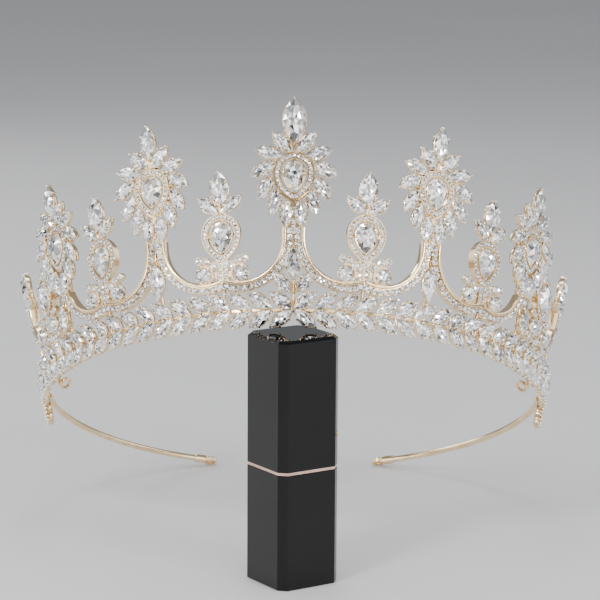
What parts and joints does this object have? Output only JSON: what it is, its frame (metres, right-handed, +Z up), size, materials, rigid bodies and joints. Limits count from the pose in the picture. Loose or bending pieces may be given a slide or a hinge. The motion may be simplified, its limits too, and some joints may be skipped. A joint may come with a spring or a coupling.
{
  "type": "bridal crown on a block stand",
  "caption": "Bridal crown of soldered gold-coloured metal set with clear cut stones, its front resting on a tall square block and its wire ends on the surface.",
  "frame": {"origin": "on the surface that the block and the wire ends stand on, under the middle of the whole", "axes": "+Z up, +Y from the front of the crown to its wire ends, +X to the right as seen from the front"},
  "size_m": [0.1782, 0.1536, 0.1419],
  "materials": {
    "gold": "polished, pale gold plating",
    "stone": "clear, cut and polished",
    "block": "high gloss",
    "seam": "polished, rose gold"
  },
  "bodies": {
    "root": {"crown_frame": "gold", "end_eyelet_left": "gold", "end_eyelet_right": "gold", "pin_loop_left": "gold", "pin_loop_right": "gold", "band_upper_stones_left": "stone", "band_upper_stones_right": "stone", "band_lower_stones_left": "stone", "band_lower_stones_right": "stone", "petal_stones_middle": "stone", "petal_stones_flank_left": "stone", "petal_stones_flank_right": "stone", "petal_stones_side_left": "stone", "petal_stones_side_right": "stone", "pear_middle": "stone", "pear_flank_left": "stone", "pear_flank_right": "stone", "pear_side_left": "stone", "pear_side_right": "stone", "pear_small_1_left": "stone", "pear_small_1_right": "stone", "pear_small_2_left": "stone", "pear_small_2_right": "stone", "pear_small_3_left": "stone", "pear_small_3_right": "stone", "top_stone_middle": "stone", "top_stone_flank_left": "stone", "top_stone_flank_right": "stone", "top_stone_side_left": "stone", "top_stone_side_right": "stone", "finial_stones_left": "stone", "finial_stones_right": "stone", "trefoil_stones_left": "stone", "trefoil_stones_right": "stone", "round_stones_left": "stone", "round_stones_right": "stone", "insert_stones_middle": "stone", "insert_stone_flank_left": "stone", "insert_stone_flank_right": "stone", "insert_stone_side_left": "stone", "insert_stone_side_right": "stone", "stand_base": "block", "stand_seam": "seam", "stand_cap": "block"}
  },
  "joints": []
}
